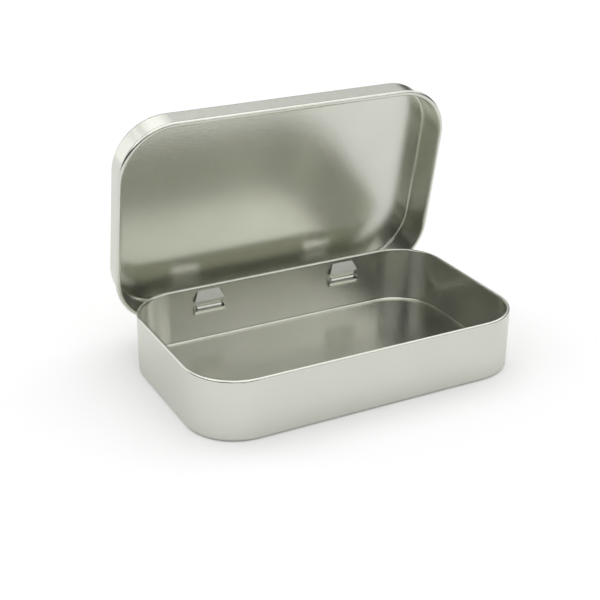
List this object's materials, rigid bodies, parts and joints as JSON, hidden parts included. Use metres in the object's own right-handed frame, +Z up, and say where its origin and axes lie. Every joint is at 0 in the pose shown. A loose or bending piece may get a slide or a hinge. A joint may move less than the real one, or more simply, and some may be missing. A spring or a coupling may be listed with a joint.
{
  "type": "hinged rectangular tin",
  "caption": "Shallow rectangular tinplate tin with rounded corners, open and empty: a tray with a hemmed rim and a beaded lid standing up on rolled hinges.",
  "frame": {"origin": "middle of the tray's underside, on the surface that the tin stands on", "axes": "+X along the tin's length, +Y towards the hinge side, +Z up"},
  "size_m": [0.0988, 0.0661, 0.0685],
  "materials": {
    "tray_tinplate": "satin tinplate",
    "lid_tinplate": "satin tinplate"
  },
  "bodies": {
    "tray": {"tray": "tray_tinplate"},
    "lid": {"lid": "lid_tinplate"}
  },
  "joints": [
    {"name": "lid_hinge", "type": "hinge", "parent": "tray", "child": "lid", "pos_m": [0, 0.0291, 0.0095], "axis": [1, 0, 0], "range_deg": [-15, 79]}
  ]
}
